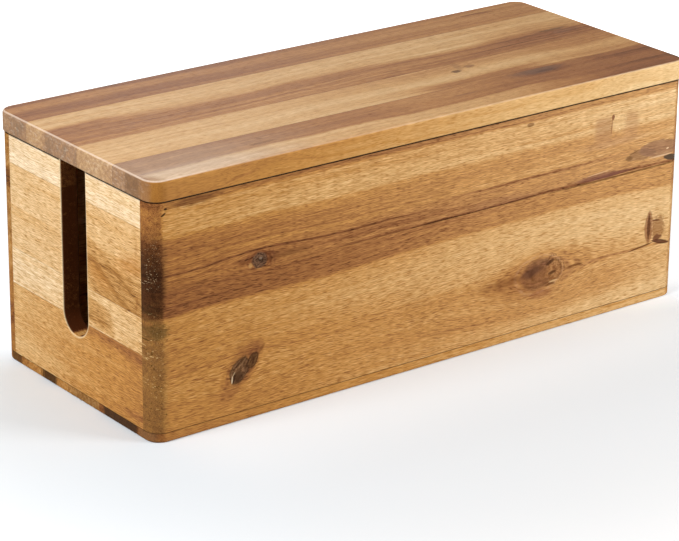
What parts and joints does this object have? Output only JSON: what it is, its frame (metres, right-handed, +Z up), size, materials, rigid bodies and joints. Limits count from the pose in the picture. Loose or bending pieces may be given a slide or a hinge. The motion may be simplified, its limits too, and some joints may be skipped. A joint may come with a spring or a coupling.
{
  "type": "cable management box",
  "caption": "Long wooden box of edge-glued boards with a round-bottomed cable slot in each end and a loose lift-off lid that cleats keep in place.",
  "frame": {"origin": "middle of the underside of the box", "axes": "+X along the box towards its right end, -Y towards the front board, +Z up through the lid"},
  "size_m": [0.346, 0.141, 0.136],
  "materials": {
    "acacia_golden": "satin oiled golden acacia",
    "acacia_straw": "satin oiled pale acacia sapwood",
    "acacia_brown": "satin oiled brown acacia heartwood",
    "acacia_red_brown": "satin oiled red-brown acacia heartwood",
    "dowel_wood": "plain beech",
    "screw_steel": "zinc plated steel"
  },
  "bodies": {
    "box": {"front_stave_lower": "acacia_golden", "front_stave_upper": "acacia_brown", "back_stave_lower": "acacia_golden", "back_stave_upper": "acacia_straw", "left_end_stave_bottom": "acacia_golden", "left_end_stave_second_front": "acacia_straw", "left_end_stave_second_back": "acacia_straw", "left_end_stave_third_front": "acacia_golden", "left_end_stave_third_back": "acacia_golden", "left_end_stave_top_front": "acacia_straw", "left_end_stave_top_back": "acacia_straw", "right_end_stave_bottom": "acacia_brown", "right_end_stave_second_front": "acacia_golden", "right_end_stave_second_back": "acacia_golden", "right_end_stave_third_front": "acacia_straw", "right_end_stave_third_back": "acacia_straw", "right_end_stave_top_front": "acacia_golden", "right_end_stave_top_back": "acacia_golden", "base_stave_front": "acacia_golden", "base_stave_second": "acacia_straw", "base_stave_third": "acacia_golden", "base_stave_back": "acacia_brown", "dowels_front_left": "dowel_wood", "dowels_back_left": "dowel_wood", "dowels_front_right": "dowel_wood", "dowels_back_right": "dowel_wood", "base_screws_front": "screw_steel", "base_screws_back": "screw_steel", "base_screws_left": "screw_steel", "base_screws_right": "screw_steel"},
    "lid": {"lid_stave_front": "acacia_red_brown", "lid_stave_second": "acacia_straw", "lid_stave_third": "acacia_brown", "lid_stave_back": "acacia_red_brown", "lid_cleat_front": "acacia_straw", "lid_cleat_back": "acacia_straw", "cleat_screws_front": "screw_steel", "cleat_screws_back": "screw_steel"}
  },
  "joints": [
    {"name": "lid_lift", "type": "slide", "parent": "box", "child": "lid", "axis": [0, 0, 1], "range_m": [0, 0.1]}
  ]
}
